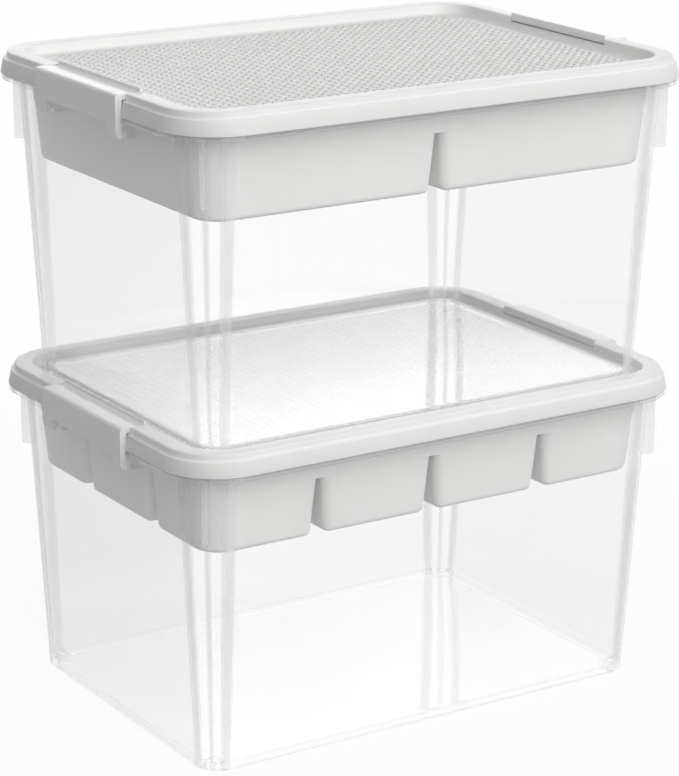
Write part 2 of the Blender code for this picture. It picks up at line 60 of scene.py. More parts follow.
# Tub
TUB_RIM_HEIGHT = 0.2116
TUB_WALL = 0.0022
TUB_DRAFT = math.tan(math.radians(3.4))
RIM_EDGE_INSET = 0.0003
RIM_DEPTH = 0.0031
RIM_WALL = 0.0017
RIM_EDGE_RADIUS = 0.0006
WALL_TOP_INSET = 0.0121
NECK_INSET = 0.0088
FOOT_WIDTH = 0.0030
FOOT_EDGE_RADIUS = 0.0024
FOOT_HOLLOW_DEPTH = 0.0022
FOOT_HOLLOW_SLOPE = 0.0010
FLOOR_THICKNESS = 0.0021
FLOOR_FILLET_RADIUS = 0.0040
FIN_HEIGHT = 0.0450
FIN_RIM_SETBACK = 0.0067
FIN_THICKNESS = 0.0016
FIN_EDGE_RADIUS = 0.0030
CATCH_INSET = 0.0046
CATCH_EDGE_RADIUS = 0.0025
CATCH_SETBACK = 0.0015

# Lid
LID_WALL = 0.0020
SKIRT_HEIGHT = 0.0103
SKIRT_DRAFT = 0.0018
SKIRT_EDGE_RADIUS = 0.0008
SKIRT_FOOT_RADIUS = 0.0006
RING_INSET = 0.0045
RING_RISE = 0.0046
RING_WIDTH = 0.0126
RING_EDGE_RADIUS = 0.0014
RING_FILLET_RADIUS = 0.0006
DECK_FILLET_RADIUS = 0.0026
NOTCH_EDGE_RADIUS = 0.0015
DECK_DEPTH = 0.0074
DECK_DRAFT = 0.0007

# Bumps on the lid's deck
STUD_PITCH = 0.00695
STUD_COLUMNS = 49
STUD_ROWS = 33
STUD_RADIUS = 0.0022
STUD_HEIGHT = 0.0012
STUD_SINK = 0.0003
STUD_SIDES = 12
STUD_FIELD_CORNER = 0.0121
STUD_FIELD_PLAY = 0.0002
STUD_SHARES = ((1, 0.3), (0.93, 0.62), (0.76, 0.86), (0.48, 0.97), (0.2, 1))

# Latches
LATCH_LENGTH = 0.110
LATCH_END_GAP = 0.0006
LATCH_BACK_GAP = 0.0004
LATCH_PROUD = 0.0030
LATCH_WALL = 0.0021
LATCH_EDGE_RADIUS = 0.0026
LATCH_REACH_BELOW_RIM = 0.0115
LATCH_TROUGH_DEPTH = 0.0008
LATCH_SHELF = 0.0052
LEG_WIDTH = 0.0130
LEG_CORNER_RADIUS = 0.0060
LEG_END_RADIUS = 0.0015
TOE_HEIGHT = 0.0075
ARCH_RISE = 0.0100
ARCH_CORNER_RADIUS = 0.0040
HOOK_DROP = 0.0002
HOOK_HEIGHT = 0.0058
HOOK_TIP_HEIGHT = 0.0022
HOOK_REACH = 0.0015
LIP_THICKNESS = 0.0018
LIP_RISE = 0.0024
LIP_FOOT_RADIUS = 0.0016
NOTCH_STEP = 0.0032
RECESS_DEPTH = 0.0023
BARREL_RADIUS = 0.0020
PIN_RADIUS = 0.0014
PIN_LENGTH = 0.0017
PIN_CLEARANCE = 0.0003
ROUND_STEPS = 24
LATCH_BEVEL = 0.0004
LATCH_BEVEL_ANGLE = math.radians(50)
LATCH_EDGE_STEPS = 8

# Trays
TRAY_WALL = 0.0015
TRAY_PLAY = 0.0004
TRAY_FLANGE = 0.0018
TRAY_SKIRT_INSET = 0.0203
TRAY_SKIRT_HEIGHT = 0.0217
TRAY_DRAFT = math.tan(math.radians(4.3))
TRAY_DEPTH = 0.0645
POCKET_SETBACK = 0.0006
POCKET_GAP = 0.0040
POCKET_CORNER_RADIUS = 0.0060
POCKET_EDGE_RADIUS = 0.0042
POCKET_CORNER_STEPS = 10
TRAY_EDGE_RADIUS = 0.0005
NECK_CLEARANCE = 0.0008
TRAY_CLEARANCE = 0.0009
TRAY_SHARES = {"lower": ((1, 1, 1, 1), (6, 7, 6)), "upper": ((1, 1), (1,))}

# Heights over the foot of a box, and insets
RIM_BOTTOM = TUB_RIM_HEIGHT - RIM_DEPTH
SKIRT_BOTTOM = TUB_RIM_HEIGHT + SEAT_GAP
STEP_HEIGHT = SKIRT_BOTTOM + SKIRT_HEIGHT
RING_TOP = STEP_HEIGHT + RING_RISE
DECK_TOP = RING_TOP - DECK_DEPTH
DECK_UNDERSIDE = DECK_TOP - LID_WALL
NOTCH_FLOOR = DECK_TOP + NOTCH_STEP
NECK_TOP = NOTCH_FLOOR - LID_WALL - NECK_CLEARANCE
TRAY_TOP = DECK_UNDERSIDE - TRAY_CLEARANCE
TRAY_SEAT = TRAY_TOP - TRAY_FLANGE - SEAT_GAP
LATCH_BOTTOM = RIM_BOTTOM - LATCH_REACH_BELOW_RIM
STACK_PITCH = DECK_TOP + SEAT_GAP
RING_INNER_INSET = RING_INSET + RING_WIDTH
HINGE_INSET = RING_INNER_INSET - LIP_THICKNESS / 2 - BARREL_RADIUS + LATCH_BACK_GAP
HINGE_HEIGHT = NOTCH_FLOOR + BARREL_RADIUS + LATCH_BACK_GAP
HINGE_X = LID_LENGTH / 2 - HINGE_INSET
FOOT_HEIGHTS = {"lower": 0.0, "upper": STACK_PITCH}

# Camera, as it stood for the photograph
CAMERA_PLACE = (-1.0619, -1.6448, 0.8047)
CAMERA_YAW = math.radians(32.86)
CAMERA_PITCH = math.radians(16.76)
CAMERA_ROLL = math.radians(0.44)
CAMERA_SENSOR = 36.0
CAMERA_FOCAL_SHARE = 2920.0 / 776.0
CAMERA_SHIFT = (0.0019, -0.0126)
CAMERA_NEAR = 0.05
CAMERA_FAR = 60.0

# Looks of the opaque plastics: two colours, roughness, strength of grain and sheen
WHITE = (1, 1, 1, 1)
PLASTICS = {
    "lid": ((0.87, 0.87, 0.865, 1), (0.85, 0.85, 0.845, 1), 0.38, 0.08, 0.25),
    # The studs use a darker copy of the lid's plastic: painted shade for the studded deck
    "stud": ((0.82, 0.82, 0.815, 1), (0.80, 0.80, 0.795, 1), 0.48, 0.05, 0.20),
    "latch": ((0.87, 0.87, 0.865, 1), (0.855, 0.855, 0.85, 1), 0.32, 0.05, 0.45),
    "tray": ((0.93, 0.93, 0.92, 1), (0.91, 0.91, 0.90, 1), 0.42, 0.10, 0.35),
}
CLOUD_SCALE = 14.0
SMEAR_SCALE = 60.0
SMEAR_RANGE = (-0.02, 0.03)
GRAIN_SCALE = 2600.0
GRAIN_DETAIL = 2.0
GRAIN_DEPTH = 0.0001

# Look of the clear plastic
FILM_COLOUR = (0.998, 0.998, 0.9985, 1)
MILK_COLOUR = (0.93, 0.935, 0.94, 1)
HAZE_POWER = 2.6
HAZE_RANGE = (0.014, 0.46)
SHINE_POWER = 5.0
SHINE_RANGE = (0.02, 1.0)
GLOSS_ROUGHNESS = (0.03, 0.07)
CLEAR_SMEAR_SCALE = 45.0
# Painted reflections on the tub's rounded corners: how strong they are and where they rise and fall
# around each corner
PAINTED_REFLECTION_STRENGTH = 0.30
PAINTED_REFLECTION_STOPS = (
    (0.01, 0), (0.04, 1), (0.19, 0.8), (0.24, 0), (0.44, 0), (0.48, 0.8),
    (0.53, 0.8), (0.57, 0), (0.71, 0), (0.76, 0.8), (0.94, 1), (0.98, 0),
)

# Stage
FLOOR_HALF = 12.0
FLOOR_DROP = 0.0002
FLOOR_SEEN = (0.97, 0.97, 0.97, 1)
FLOOR_UNSEEN = (0.45, 0.45, 0.45, 1)
GLOW_RANGE = (0.90, 0.98)
GLOW_REACH = (0.1, 0.9)
WORLD_COLOUR = (1.0, 0.985, 0.97, 1)
WORLD_STRENGTH = 0.25
LAMP_TARGET = (0, 0, 0.22)
LAMPS = {
    "key": ((0.4, -3.2, 2.5), (7.0, 4.4), 168),
    "fill": ((-2.6, -1.6, 1.2), (1.4, 2.0), 2),
    "back": ((0.9, 2.8, 1.3), (3.0, 1.6), 20),
}


# Mesh helpers


def arc(centre, radius, start_degrees, end_degrees, steps=ARC_STEPS):
    """Points of an arc in a plane, both ends included."""
    points = []
    for step in range(steps + 1):
        angle = math.radians(start_degrees + (end_degrees - start_degrees) * step / steps)
        points.append((centre[0] + radius * math.cos(angle), centre[1] + radius * math.sin(angle)))
    return points


def box_ring(inset, height):
    """Ring of the box's plan at an inset from the skirt's edge and at a height."""
    radius = max(LID_CORNER_RADIUS - inset, LEAST_CORNER_RADIUS)
    points = []
    for quarter, (side_x, side_y) in enumerate(((1, 1), (-1, 1), (-1, -1), (1, -1))):
        centre_x = side_x * (LID_LENGTH / 2 - inset - radius)
        centre = (centre_x, side_y * (LID_WIDTH / 2 - inset - radius))
        for x, y in arc(centre, radius, 90 * quarter, 90 * quarter + 90, CORNER_STEPS):
            points.append(Vector((x, y, height)))
    return points


class Shell:
    """A closed surface made of rings, the bands between them and flat fills."""

    def __init__(self):
        self.mesh = bmesh.new()

    def ring(self, points):
        """Add a ring of vertices."""
        return [self.mesh.verts.new(point) for point in points]

    def bands(self, rings):
        """Join each ring to the next one and return the last."""
        for lower, upper in zip(rings, rings[1:]):
            for index in range(len(lower)):
                following = (index + 1) % len(lower)
                corners = (lower[index], lower[following], upper[following], upper[index])
                self.mesh.faces.new(corners)
        return rings[-1]

    def fill(self, outer, holes=()):
        """Close a flat ring, leaving out the holes inside it."""
        if not holes:
            self.mesh.faces.new(outer)
            return
        vertices = list(outer)
        for hole in holes:
            vertices.extend(hole)
        loops = [[vertex.co for vertex in outer]]
        loops.extend([vertex.co for vertex in hole] for hole in holes)
        for corners in tessellate_polygon(loops):
            self.mesh.faces.new([vertices[corner] for corner in corners])

    def finish(self, name):
        """Turn the faces outward and return the mesh."""
        bmesh.ops.recalc_face_normals(self.mesh, faces=self.mesh.faces)
        mesh = bpy.data.meshes.new(name)
        self.mesh.to_mesh(mesh)
        self.mesh.free()
        return mesh


def loft_mesh(name, rings):
    """A solid through a list of rings, closed flat at both ends."""
    shell = Shell()
    rings = [shell.ring(points) for points in rings]
    shell.bands(rings)
    shell.fill(rings[0])
    shell.fill(rings[-1])
    return shell.finish(name)


def prism_mesh(name, outline, place_start, place_end):
    """A solid that carries a flat outline from one place to another."""
    return loft_mesh(name, [[place_start(*p) for p in outline], [place_end(*p) for p in outline]])


def temporary(mesh):
    """An object that only takes part in a Boolean."""
    shape = bpy.data.objects.new(mesh.name, mesh)
    bpy.context.scene.collection.objects.link(shape)
    return shape


def carved(mesh, operations):
    """The mesh after a list of Boolean steps, each an operation and a mesh."""
    base = temporary(mesh)
    tools = []
    for operation, tool_mesh in operations:
        tool = temporary(tool_mesh)
        tools.append(tool)
        modifier = base.modifiers.new(operation.title(), "BOOLEAN")
        modifier.operation = operation
        modifier.solver = "EXACT"
        modifier.object = tool
    depsgraph = bpy.context.evaluated_depsgraph_get()
    result = bpy.data.meshes.new_from_object(base.evaluated_get(depsgraph))
    for shape in [base] + tools:
        bpy.data.objects.remove(shape)
    return result


def end_prism(name, outline, half_span, side):
    """A solid across one short end of the box, from an outline of inset and height."""

    def across(y):
        return lambda inset, height: Vector((side * (LID_LENGTH / 2 - inset), y, height))

    return prism_mesh(name, outline, across(-half_span), across(half_span))


# The pieces


def wall_inset(height):
    """Inset of the tub's drafted outer wall at a height."""
    return WALL_TOP_INSET + (RIM_BOTTOM - height) * TUB_DRAFT


def tub_mesh():
    """The clear tub: drafted walls, foot, fins and a rim with its neck."""
    foot_inset = wall_inset(0)
    foot_inner = foot_inset + FOOT_EDGE_RADIUS + FOOT_WIDTH
    floor_top = FOOT_HOLLOW_DEPTH + FLOOR_THICKNESS
    rim_underside = TUB_RIM_HEIGHT - RIM_WALL
    lip_inset = RIM_EDGE_INSET + RIM_WALL
    edge = RIM_EDGE_RADIUS
    neck_inner = NECK_INSET + TUB_WALL
    floor_bend = wall_inset(floor_top + FLOOR_FILLET_RADIUS) + TUB_WALL
    profile = [(foot_inner + FOOT_HOLLOW_SLOPE, FOOT_HOLLOW_DEPTH), (foot_inner, 0)]
    profile += arc((foot_inset + FOOT_EDGE_RADIUS, FOOT_EDGE_RADIUS), FOOT_EDGE_RADIUS, 270, 180)
    profile += [(wall_inset(rim_underside), rim_underside), (lip_inset, rim_underside)]
    profile += [(lip_inset, RIM_BOTTOM)]
    profile += arc((RIM_EDGE_INSET + edge, RIM_BOTTOM + edge), edge, 270, 180, SMALL_ARC_STEPS)
    profile += arc((RIM_EDGE_INSET + edge, TUB_RIM_HEIGHT - edge), edge, 180, 90, SMALL_ARC_STEPS)
    profile += [(NECK_INSET, TUB_RIM_HEIGHT)]
    profile += arc((NECK_INSET + edge, NECK_TOP - edge), edge, 180, 90, SMALL_ARC_STEPS)
    profile += arc((neck_inner - edge, NECK_TOP - edge), edge, 90, 0, SMALL_ARC_STEPS)
    profile += [(neck_inner, TRAY_SEAT), (wall_inset(TRAY_SEAT) + TUB_WALL, TRAY_SEAT)]
    bend = (floor_bend + FLOOR_FILLET_RADIUS, floor_top + FLOOR_FILLET_RADIUS)
    profile += arc(bend, FLOOR_FILLET_RADIUS, 180, 270)

    operations = []
    for side_x in (-1, 1):
        for side_y in (-1, 1):
            operations.append(("UNION", fin_mesh(side_x, side_y)))
            operations.append(("UNION", catch_mesh(side_x, side_y)))
    relief = [
        (-CUT_OVERRUN, RIM_BOTTOM - CUT_OVERRUN),
        (RECESS_DEPTH, RIM_BOTTOM - CUT_OVERRUN),
        (RECESS_DEPTH, TUB_RIM_HEIGHT + CUT_OVERRUN),
        (-CUT_OVERRUN, TUB_RIM_HEIGHT + CUT_OVERRUN),
    ]
    half_span = LATCH_LENGTH / 2 + LATCH_END_GAP
    for side in (-1, 1):
        operations.append(("DIFFERENCE", end_prism("relief", relief, half_span, side)))
    return carved(loft_mesh("tub", [box_ring(*point) for point in profile]), operations)


def fin_mesh(side_x, side_y):
    """One upright fin on the diagonal of a corner, from the wall out under the rim."""
    top = TUB_RIM_HEIGHT - RIM_WALL / 2
    bottom = RIM_BOTTOM - FIN_HEIGHT
    outer = LID_CORNER_RADIUS - FIN_RIM_SETBACK
    outline = [(LID_CORNER_RADIUS - wall_inset(bottom) - TUB_WALL / 2, bottom)]
    outline += arc((outer - FIN_EDGE_RADIUS, bottom + FIN_EDGE_RADIUS), FIN_EDGE_RADIUS, 270, 360)
    outline += [(outer, top), (LID_CORNER_RADIUS - wall_inset(top) - TUB_WALL / 2, top)]
    centre_x = side_x * (LID_LENGTH / 2 - LID_CORNER_RADIUS)
    centre_y = side_y * (LID_WIDTH / 2 - LID_CORNER_RADIUS)
    centre = Vector((centre_x, centre_y, 0))
    outward = Vector((side_x, side_y, 0)).normalized()
    across = Vector((-outward.y, outward.x, 0))

    def on_side(offset):
        return lambda radial, height: (
            centre + outward * radial + across * offset + Vector((0, 0, height)))

    return prism_mesh("fin", outline, on_side(-FIN_THICKNESS / 2), on_side(FIN_THICKNESS / 2))


def catch_mesh(side, end):
    """One block on the end wall under the rim, behind a leg of the latch."""
    top = TUB_RIM_HEIGHT - RIM_WALL / 2
    radius = CATCH_EDGE_RADIUS
    outline = [(wall_inset(LATCH_BOTTOM) + TUB_WALL / 2, LATCH_BOTTOM)]
    outline += arc((CATCH_INSET + radius, LATCH_BOTTOM + radius), radius, 270, 180)
    outline += [(CATCH_INSET, top), (wall_inset(top) + TUB_WALL / 2, top)]
    far = LATCH_LENGTH / 2 - CATCH_SETBACK
    near = LATCH_LENGTH / 2 - LEG_WIDTH + CATCH_SETBACK

    def across(y):
        return lambda inset, height: Vector((side * (LID_LENGTH / 2 - inset), end * y, height))

    return prism_mesh("catch", outline, across(near), across(far))


def notch_outline(grown):
    """Space that a latch needs in the lid, grown by a wall for the walls that close it."""
    outer = -CUT_OVERRUN
    inner = RING_INNER_INSET + DECK_DRAFT + CUT_OVERRUN
    bottom = SKIRT_BOTTOM - 2 * CUT_OVERRUN
    top = RING_TOP + CUT_OVERRUN
    return [
        (outer - grown, bottom),
        (RECESS_DEPTH + grown, bottom),
        (RECESS_DEPTH + grown, NOTCH_FLOOR - grown),
        (inner + grown, NOTCH_FLOOR - grown),
        (inner + grown, top + grown),
        (outer - grown, top + grown),
    ]


def rod_mesh(x, z, radius, start_y, end_y):
    """A round rod along Y."""
    outline = arc((x, z), radius, 0, 360, ROUND_STEPS)[:-1]

    def at_y(y):
        return lambda across, height: Vector((across, y, height))

    return prism_mesh("rod", outline, at_y(start_y), at_y(end_y))


def notch_rounding(side, end, half_span):
    """What is cut away to round an upright edge of the skirt beside a latch."""
    radius = NOTCH_EDGE_RADIUS
    outline = [(CUT_OVERRUN, -CUT_OVERRUN), (CUT_OVERRUN, radius)]
    outline += arc((-radius, radius), radius, 0, -90)
    outline += [(-radius, -CUT_OVERRUN)]

    def at_height(height):
        face = LID_LENGTH / 2 - SKIRT_DRAFT * (height - SKIRT_BOTTOM) / SKIRT_HEIGHT
        return lambda out, along: Vector((side * (face + out), end * (half_span + along), height))

    low, high = SKIRT_BOTTOM - CUT_OVERRUN, STEP_HEIGHT + SEAT_GAP
    return prism_mesh("notch_rounding", outline, at_height(low), at_height(high))


def lid_mesh():
    """The lid: stepped skirt, raised ring, sunk deck and a walled notch for each latch."""
    foot, edge = SKIRT_FOOT_RADIUS, SKIRT_EDGE_RADIUS
    round_edge, fillet = RING_EDGE_RADIUS, RING_FILLET_RADIUS
    outer = arc((LID_WALL - foot, SKIRT_BOTTOM + foot), foot, 360, 270, SMALL_ARC_STEPS)
    outer += arc((foot, SKIRT_BOTTOM + foot), foot, 270, 180, SMALL_ARC_STEPS)
    outer += arc((SKIRT_DRAFT + edge, STEP_HEIGHT - edge), edge, 180, 90)
    outer += arc((RING_INSET - fillet, STEP_HEIGHT + fillet), fillet, 270, 360, SMALL_ARC_STEPS)
    outer += arc((RING_INSET + round_edge, RING_TOP - round_edge), round_edge, 180, 90)
    outer += arc((RING_INNER_INSET - round_edge, RING_TOP - round_edge), round_edge, 90, 0)
    deck_inset = RING_INNER_INSET + DECK_DRAFT
    bend = DECK_FILLET_RADIUS
    outer += arc((deck_inset + bend, DECK_TOP + bend), bend, 180, 270)
    channel_outer = RING_INSET + LID_WALL
    channel_inner = RING_INNER_INSET - LID_WALL
    inner = [
        (LID_WALL, SKIRT_BOTTOM - CUT_OVERRUN),
        (LID_WALL, SKIRT_BOTTOM + foot),
        (SKIRT_DRAFT + LID_WALL, STEP_HEIGHT - LID_WALL),
        (channel_outer, STEP_HEIGHT - LID_WALL),
        (channel_outer, RING_TOP - LID_WALL),
        (channel_inner, RING_TOP - LID_WALL),
        (channel_inner + DECK_DRAFT, DECK_UNDERSIDE),
    ]
    half_span = LATCH_LENGTH / 2 + LATCH_END_GAP
    blank = loft_mesh("lid", [box_ring(*point) for point in outer])
    hollow = loft_mesh("lid_hollow", [box_ring(*point) for point in inner])
    walls = []
    cuts = []
    for side in (-1, 1):
        closed = end_prism("walls", notch_outline(LID_WALL), half_span + LID_WALL, side)
        walls.append(("DIFFERENCE", closed))
        cuts.append(("DIFFERENCE", end_prism("notch", notch_outline(0), half_span, side)))
        for end in (-1, 1):
            start_y = end * (half_span - CUT_OVERRUN)
            end_y = end * (half_span + LID_WALL + SEAT_GAP)
            radius = PIN_RADIUS + PIN_CLEARANCE
            hole = rod_mesh(side * HINGE_X, HINGE_HEIGHT, radius, start_y, end_y)
            cuts.append(("DIFFERENCE", hole))
            cuts.append(("DIFFERENCE", notch_rounding(side, end, half_span)))
    cuts.insert(0, ("DIFFERENCE", carved(hollow, walls)))
    return carved(blank, cuts)


def latch_section():
    """Outline of the latch as outward distance and height from the hinge axis, walls full."""
    face = HINGE_INSET + LATCH_PROUD
    top = RING_TOP - HINGE_HEIGHT
    bottom = LATCH_BOTTOM - HINGE_HEIGHT
    back = HINGE_INSET - RECESS_DEPTH + LATCH_BACK_GAP
    shelf_end = face - LATCH_PROUD - LATCH_SHELF
    lip_inner = -BARREL_RADIUS
    lip_outer = lip_inner + LIP_THICKNESS
    lip_radius = LIP_THICKNESS / 2
    trough = top - LATCH_TROUGH_DEPTH
    trough_end = lip_outer + LIP_FOOT_RADIUS
    outline = []
    toe_steps = 2 * ARC_STEPS
    for step in range(toe_steps):
        angle = math.radians(90) * step / toe_steps
        depth = (face - back) * (1 - math.sin(angle))
        outline.append((face - depth, bottom + TOE_HEIGHT * (1 - math.cos(angle))))
    outline.append((face, bottom + TOE_HEIGHT))
    outline += arc((face - LATCH_EDGE_RADIUS, top - LATCH_EDGE_RADIUS), LATCH_EDGE_RADIUS, 0, 90,
                   LATCH_EDGE_STEPS)
    steps = 3 * ARC_STEPS
    for step in range(steps):
        share = step / steps
        fall = (1 - math.cos(math.pi * share)) / 2
        outline.append((shelf_end + (trough_end - shelf_end) * share, top + (trough - top) * fall))
    outline += arc((trough_end, trough + LIP_FOOT_RADIUS), LIP_FOOT_RADIUS, 270, 180)
    lip_centre = (lip_outer - lip_radius, top + LIP_RISE - lip_radius)
    outline += arc(lip_centre, lip_radius, 0, 180, 2 * ARC_STEPS)
    outline += arc((0, 0), BARREL_RADIUS, 180, 270)
    outline += [(back, -BARREL_RADIUS), (back, bottom)]
    return outline


def latch_front():
    """Outline of the latch seen from its end of the box: two legs with an arch between."""
    half = LATCH_LENGTH / 2
    inner = half - LEG_WIDTH
    bottom = LATCH_BOTTOM - HINGE_HEIGHT
    arch = bottom + ARCH_RISE
    top = RING_TOP + LIP_RISE + CUT_OVERRUN - HINGE_HEIGHT
    radius = LEG_CORNER_RADIUS
    bend = ARCH_CORNER_RADIUS
    right = arc((inner - bend, arch - bend), bend, 90, 0)
    right += arc((inner + radius, bottom + radius), radius, 180, 270)
    corner = LEG_END_RADIUS
    right += arc((half - corner, bottom + corner), corner, 270, 360)
    right += [(half, top)]
    return right + [(-y, z) for y, z in reversed(right)]


def latch_mesh():
    """A latch around its hinge axis, with +X pointing out of the box."""
    half = LATCH_LENGTH / 2
    inside = half - LATCH_WALL
    leg_inner = half - LEG_WIDTH + LATCH_WALL
    face = HINGE_INSET + LATCH_PROUD
    skin = face - LATCH_WALL
    top = RING_TOP - HINGE_HEIGHT - LATCH_WALL
    trough = top - LATCH_TROUGH_DEPTH
    back = HINGE_INSET - RECESS_DEPTH
    low = LATCH_BOTTOM + ARCH_RISE + LATCH_WALL - HINGE_HEIGHT
    below = LATCH_BOTTOM - HINGE_HEIGHT - CUT_OVERRUN
    hook_top = RIM_BOTTOM - HOOK_DROP - HINGE_HEIGHT
    shelf_end = HINGE_INSET - LATCH_SHELF
    root = BARREL_RADIUS + LATCH_WALL / 2
    floor = -BARREL_RADIUS - LATCH_BACK_GAP
    hollow = [
        (skin, low),
        (skin, top),
        (shelf_end, top),
        (root + (shelf_end - root) / 2, trough + LATCH_TROUGH_DEPTH / 2),
        (root, trough),
        (root, floor),
        (back - CUT_OVERRUN, floor),
        (back - CUT_OVERRUN, low),
    ]
    leg_hollow = [
        (skin, below),
        (skin, low + LATCH_WALL),
        (back - CUT_OVERRUN, low + LATCH_WALL),
        (back - CUT_OVERRUN, below),
    ]
    hook = [
        (face - LATCH_WALL / 2, hook_top - HOOK_HEIGHT),
        (face - LATCH_WALL / 2, hook_top),
        (back - HOOK_REACH, hook_top),
        (back - HOOK_REACH, hook_top - HOOK_TIP_HEIGHT),
    ]

    def at_y(y):
        return lambda x, z: Vector((x, y, z))

    def at_x(x):
        return lambda y, z: Vector((x, y, z))

    body = prism_mesh("latch", latch_section(), at_y(-half - CUT_OVERRUN), at_y(half + CUT_OVERRUN))
    rear, reach = -BARREL_RADIUS - CUT_OVERRUN, face + CUT_OVERRUN
    front = prism_mesh("latch_front", latch_front(), at_x(rear), at_x(reach))
    operations = [
        ("INTERSECT", front),
        ("DIFFERENCE", prism_mesh("hollow", hollow, at_y(-inside), at_y(inside))),
    ]
    for end in (-1, 1):
        span = at_y(end * leg_inner), at_y(end * inside)
        operations.append(("DIFFERENCE", prism_mesh("leg_hollow", leg_hollow, *span)))
    for end in (-1, 1):
        span = at_y(end * (leg_inner - LATCH_WALL / 2)), at_y(end * (inside + LATCH_WALL / 2))
        operations.append(("UNION", prism_mesh("hook", hook, *span)))
    operations.append(("UNION", rod_mesh(0, 0, PIN_RADIUS, -half - PIN_LENGTH, half + PIN_LENGTH)))
    return carved(body, operations)


def spans(shares, full):
    """Start and end of each pocket along a side of the tray, split by shares."""
    unit = (full - (len(shares) - 1) * POCKET_GAP) / sum(shares)
    places = []
    start = -full / 2
    for share in shares:
        places.append((start, start + share * unit))
        start += share * unit + POCKET_GAP
    return places


def pocket_ring(columns, rows, column, row, outer_radius, inset, rounding, height):
    """Ring of one pocket, drawn in by an inset and by the rounding of its lower edge."""
    points = []
    for quarter, (side_x, side_y) in enumerate(((1, 1), (-1, 1), (-1, -1), (1, -1))):
        at_end = column == (len(columns) - 1 if side_x > 0 else 0)
        at_side = row == (len(rows) - 1 if side_y > 0 else 0)
        radius = outer_radius if at_end and at_side else POCKET_CORNER_RADIUS
        radius = max(radius - rounding, LEAST_CORNER_RADIUS)
        edge_x = columns[column][1 if side_x > 0 else 0] - side_x * (inset + rounding)
        edge_y = rows[row][1 if side_y > 0 else 0] - side_y * (inset + rounding)
        centre = (edge_x - side_x * radius, edge_y - side_y * radius)
        for x, y in arc(centre, radius, 90 * quarter, 90 * quarter + 90, POCKET_CORNER_STEPS):
            points.append(Vector((x, y, height)))
    return points


def tray_mesh(column_shares, row_shares):
    """A tray: a flange, a drafted skirt and a grid of drafted pockets hung from a web."""
    flange_inset = NECK_INSET + TUB_WALL + TRAY_PLAY
    flange_bottom = TRAY_TOP - TRAY_FLANGE
    web_bottom = flange_bottom - TRAY_SKIRT_HEIGHT
    web_top = web_bottom + TRAY_WALL
    skirt_bottom_inset = TRAY_SKIRT_INSET + TRAY_SKIRT_HEIGHT * TRAY_DRAFT
    inner_bottom_inset = TRAY_SKIRT_INSET + TRAY_WALL + (TRAY_TOP - web_top) * TRAY_DRAFT
    edge = TRAY_EDGE_RADIUS
    shell = Shell()
    mouth = shell.ring(box_ring(TRAY_SKIRT_INSET + TRAY_WALL + edge, TRAY_TOP))
    outer = arc((flange_inset + edge, TRAY_TOP - edge), edge, 90, 180, SMALL_ARC_STEPS)
    outer += arc((flange_inset + edge, flange_bottom + edge), edge, 180, 270, SMALL_ARC_STEPS)
    outer += [(TRAY_SKIRT_INSET, flange_bottom), (skirt_bottom_inset, web_bottom)]
    outside = shell.bands([mouth] + [shell.ring(box_ring(*point)) for point in outer])
    inner = [(TRAY_SKIRT_INSET + TRAY_WALL, TRAY_TOP - edge), (inner_bottom_inset, web_top)]
    inside = shell.bands([mouth] + [shell.ring(box_ring(*point)) for point in inner])

    pocket_inset = skirt_bottom_inset + POCKET_SETBACK
    outer_radius = LID_CORNER_RADIUS - pocket_inset
    columns = spans(column_shares, LID_LENGTH - 2 * pocket_inset)
    rows = spans(row_shares, LID_WIDTH - 2 * pocket_inset)
    bend_height = TRAY_TOP - TRAY_DEPTH + POCKET_EDGE_RADIUS
    bend_inset = (web_bottom - bend_height) * TRAY_DRAFT
    outer_holes = []
    inner_holes = []
    faces = (0, web_bottom, outer_holes), (TRAY_WALL, web_top, inner_holes)
    for column in range(len(columns)):
        for row in range(len(rows)):
            pocket = columns, rows, column, row, outer_radius
            for wall, top, holes in faces:
                rings = [pocket_ring(*pocket, wall, 0, top)]
                radius = POCKET_EDGE_RADIUS - wall
                for rounding, height in arc((radius, bend_height), radius, 180, 270):
                    rings.append(pocket_ring(*pocket, bend_inset + wall, rounding, height))
                rings = [shell.ring(points) for points in rings]
                shell.fill(shell.bands(rings))
                holes.append(rings[0])
    shell.fill(outside, outer_holes)
    shell.fill(inside, inner_holes)
    return shell.finish("tray")


def studs_mesh():
    """The grid of low round bumps on the lid's deck."""
    mesh = bmesh.new()
    profile = [(STUD_RADIUS, -STUD_SINK)]
    profile += [(STUD_RADIUS * across, STUD_HEIGHT * up) for across, up in STUD_SHARES]
    limit_x = (STUD_COLUMNS - 1) / 2 * STUD_PITCH + STUD_RADIUS - STUD_FIELD_CORNER
    limit_y = (STUD_ROWS - 1) / 2 * STUD_PITCH + STUD_RADIUS - STUD_FIELD_CORNER
    reach = STUD_FIELD_CORNER - STUD_RADIUS + STUD_FIELD_PLAY
    for column in range(STUD_COLUMNS):
        for row in range(STUD_ROWS):
            x = (column - (STUD_COLUMNS - 1) / 2) * STUD_PITCH
            y = (row - (STUD_ROWS - 1) / 2) * STUD_PITCH
            if math.hypot(max(abs(x) - limit_x, 0), max(abs(y) - limit_y, 0)) > reach:
                continue
            rings = []
            for radius, height in profile:
                ring = arc((x, y), radius, 0, 360, STUD_SIDES)[:-1]
                rings.append([mesh.verts.new((*point, DECK_TOP + height)) for point in ring])
            for lower, upper in zip(rings, rings[1:]):
                for side in range(STUD_SIDES):
                    following = (side + 1) % STUD_SIDES
                    corners = (lower[side], lower[following], upper[following], upper[side])
                    mesh.faces.new(corners)
            mesh.faces.new(rings[-1])
            mesh.faces.new(list(reversed(rings[0])))
    result = bpy.data.meshes.new("studs")
    mesh.to_mesh(result)
    mesh.free()
    return result


# Materials


def new_material(name):
    """An empty node material and its output node."""
    material = bpy.data.materials.new(name)
    material.use_nodes = True
    tree = material.node_tree
    tree.nodes.clear()
    output = tree.nodes.new("ShaderNodeOutputMaterial")
    return material, tree, output


